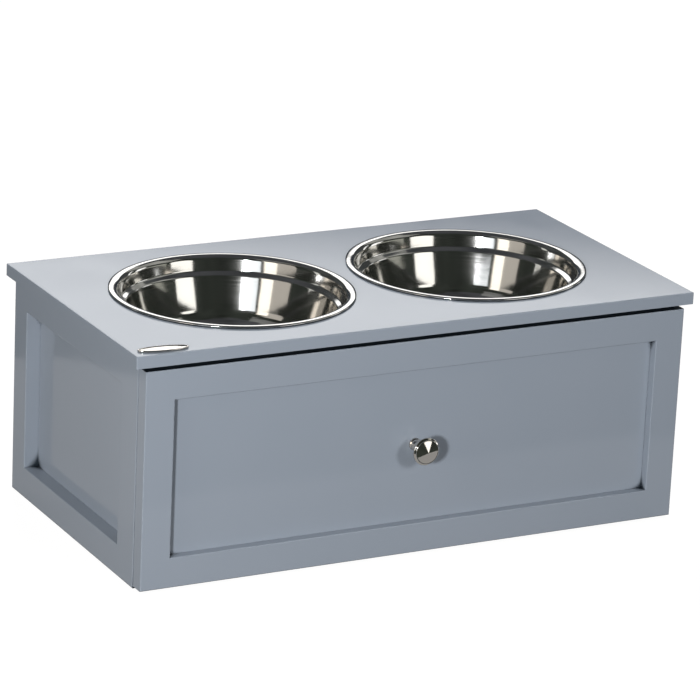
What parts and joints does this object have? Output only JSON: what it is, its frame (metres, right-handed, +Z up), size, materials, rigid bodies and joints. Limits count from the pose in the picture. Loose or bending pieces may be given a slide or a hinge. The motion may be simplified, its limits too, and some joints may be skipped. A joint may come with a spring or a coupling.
{
  "type": "elevated dog feeder with storage",
  "caption": "Low pet feeding stand of painted board with lift-out steel bowls in its top and a storage drawer below.",
  "frame": {"origin": "on the floor, under the middle of the whole object, knob included", "axes": "+X to the right along the front, +Y from the front to the back, +Z up"},
  "size_m": [0.6, 0.329, 0.2374],
  "materials": {
    "painted_fibreboard": "satin blue-grey paint",
    "polished_stainless_steel": "mirror polished",
    "plated_alloy": "bright nickel plated",
    "zinc_plated_steel": "bright zinc plated",
    "cast_zinc": "as cast",
    "coated_steel": "white epoxy coated",
    "nylon": "natural",
    "beech": "fluted, raw",
    "clear_rubber": "soft, clear"
  },
  "bodies": {
    "cabinet": {"top_board": "painted_fibreboard", "bottom_board": "painted_fibreboard", "back_panel": "painted_fibreboard", "oval_plate": "plated_alloy", "cam_bolts": "zinc_plated_steel", "cam_discs": "cast_zinc", "dowels": "beech", "front_roller_pins": "zinc_plated_steel", "cabinet_runner_screws": "zinc_plated_steel", "left_front_stile": "painted_fibreboard", "left_rear_stile": "painted_fibreboard", "left_bottom_rail": "painted_fibreboard", "left_top_rail": "painted_fibreboard", "left_side_panel": "painted_fibreboard", "left_cabinet_runner": "coated_steel", "right_front_stile": "painted_fibreboard", "right_rear_stile": "painted_fibreboard", "right_bottom_rail": "painted_fibreboard", "right_top_rail": "painted_fibreboard", "right_side_panel": "painted_fibreboard", "right_cabinet_runner": "coated_steel"},
    "drawer": {"drawer_inner_front": "painted_fibreboard", "drawer_back": "painted_fibreboard", "drawer_bottom": "painted_fibreboard", "drawer_box_screws": "zinc_plated_steel", "front_frame_bottom_rail": "painted_fibreboard", "front_frame_top_rail": "painted_fibreboard", "front_panel": "painted_fibreboard", "front_screws": "zinc_plated_steel", "closing_pads": "clear_rubber", "drawer_knob": "plated_alloy", "knob_screw": "zinc_plated_steel", "rear_roller_pins": "zinc_plated_steel", "drawer_runner_screws": "zinc_plated_steel", "left_drawer_runner": "coated_steel", "left_drawer_side": "painted_fibreboard", "left_front_frame_stile": "painted_fibreboard", "right_drawer_runner": "coated_steel", "right_drawer_side": "painted_fibreboard", "right_front_frame_stile": "painted_fibreboard"},
    "left_bowl": {"left_bowl": "polished_stainless_steel"},
    "left_front_roller": {"left_front_roller": "nylon"},
    "left_rear_roller": {"left_rear_roller": "nylon"},
    "right_bowl": {"right_bowl": "polished_stainless_steel"},
    "right_front_roller": {"right_front_roller": "nylon"},
    "right_rear_roller": {"right_rear_roller": "nylon"}
  },
  "joints": [
    {"name": "drawer_slide", "type": "slide", "parent": "cabinet", "child": "drawer", "axis": [0, -1, 0], "range_m": [0, 0.2]},
    {"name": "left_bowl_lift", "type": "slide", "parent": "cabinet", "child": "left_bowl", "axis": [0, 0, 1], "range_m": [0, 0.1]},
    {"name": "left_front_roller_spin", "type": "hinge", "parent": "cabinet", "child": "left_front_roller", "pos_m": [-0.26675, -0.1135, 0.0317], "axis": [1, 0, 0], "continuous": true},
    {"name": "left_rear_roller_spin", "type": "hinge", "parent": "drawer", "child": "left_rear_roller", "pos_m": [-0.26425, 0.1125, 0.031], "axis": [1, 0, 0], "continuous": true},
    {"name": "right_bowl_lift", "type": "slide", "parent": "cabinet", "child": "right_bowl", "axis": [0, 0, 1], "range_m": [0, 0.1]},
    {"name": "right_front_roller_spin", "type": "hinge", "parent": "cabinet", "child": "right_front_roller", "pos_m": [0.26675, -0.1135, 0.0317], "axis": [1, 0, 0], "continuous": true},
    {"name": "right_rear_roller_spin", "type": "hinge", "parent": "drawer", "child": "right_rear_roller", "pos_m": [0.26425, 0.1125, 0.031], "axis": [1, 0, 0], "continuous": true}
  ],
  "couplings": [
    {"joint": "left_front_roller_spin", "follows": "drawer_slide", "rad_per_m": 111.11},
    {"joint": "left_rear_roller_spin", "follows": "drawer_slide", "rad_per_m": 111.11},
    {"joint": "right_front_roller_spin", "follows": "drawer_slide", "rad_per_m": 111.11},
    {"joint": "right_rear_roller_spin", "follows": "drawer_slide", "rad_per_m": 111.11}
  ]
}
